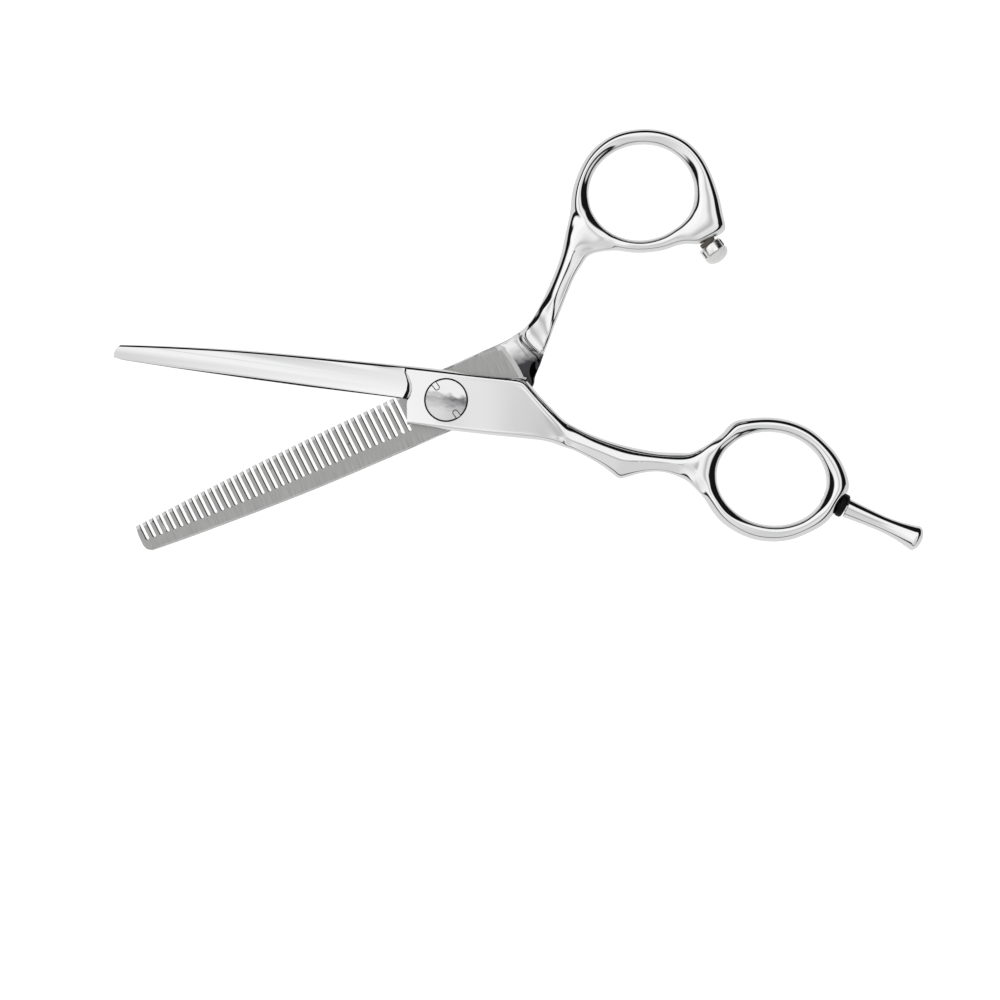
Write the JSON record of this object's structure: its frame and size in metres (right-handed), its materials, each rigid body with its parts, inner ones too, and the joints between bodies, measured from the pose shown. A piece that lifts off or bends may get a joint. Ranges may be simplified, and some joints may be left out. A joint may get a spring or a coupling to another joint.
{
  "type": "thinning shears",
  "caption": "Hairdresser's thinning shears: a straight blade and a comb blade on a tension screw pivot, with a removable finger rest and a bumper between the finger rings.",
  "frame": {"origin": "on the pivot axis, at the flat bottom of the pivot nut, which is the surface the shears lie on", "axes": "+Z along the pivot axis and up from that surface, +X from the pivot towards the finger rings along the straight half, +Y towards the thumb ring"},
  "size_m": [0.1672, 0.0993, 0.0058],
  "materials": {
    "polished_steel": "mirror polished",
    "comb_steel": "satin ride face, polished shank and ring",
    "screw_steel": "fine circular brushing",
    "nut_steel": "satin",
    "spring_steel": "plain",
    "head_polymer": "matte",
    "acetal": "satin",
    "slip_polymer": "satin",
    "rest_steel": "mirror polished",
    "black_rubber": "matte",
    "collar_steel": "turned",
    "white_nylon": "satin",
    "dark_rubber": "matte"
  },
  "bodies": {
    "straight_half": {"finger_half": "polished_steel", "pivot_bushing": "acetal", "head_washer": "head_polymer"},
    "comb_half": {"thumb_half": "comb_steel", "pivot_nut": "nut_steel", "tension_spring": "spring_steel", "blade_washer": "slip_polymer"},
    "tension_screw": {"pivot_screw": "screw_steel"},
    "rest_washer": {"finger_rest_washer": "black_rubber"},
    "rest": {"finger_rest": "rest_steel"},
    "bumper_washer": {"bumper_neck": "dark_rubber"},
    "bumper": {"bumper_collar": "collar_steel", "bumper_cap": "white_nylon"}
  },
  "joints": [
    {"name": "blade_pivot", "type": "hinge", "parent": "straight_half", "child": "comb_half", "pos_m": [0, 0, 0.00295], "axis": [0, 0, 1], "range_deg": [-29.4, 60]},
    {"name": "tension_screw_turn", "type": "hinge", "parent": "comb_half", "child": "tension_screw", "pos_m": [0, 0, 0.00295], "axis": [0, 0, 1], "range_deg": [-45, 45]},
    {"name": "rest_unscrew", "type": "slide", "parent": "straight_half", "child": "rest_washer", "axis": [0.965, -0.2622, 0], "range_m": [0, 0.002]},
    {"name": "rest_turn", "type": "hinge", "parent": "rest_washer", "child": "rest", "pos_m": [0.08342, -0.00962, 0.00295], "axis": [0.965, -0.2622, 0], "range_deg": [0, 1440]},
    {"name": "bumper_unscrew", "type": "slide", "parent": "comb_half", "child": "bumper_washer", "axis": [0.7193, -0.6947, 0], "range_m": [0, 0.0003749]},
    {"name": "bumper_turn", "type": "hinge", "parent": "bumper_washer", "child": "bumper", "pos_m": [0.04929, 0.03764, 0.00295], "axis": [0.7193, -0.6947, 0], "range_deg": [0, 270]}
  ],
  "couplings": [
    {"joint": "rest_turn", "follows": "rest_unscrew", "rad_per_m": 12566},
    {"joint": "bumper_turn", "follows": "bumper_unscrew", "rad_per_m": 12566}
  ]
}
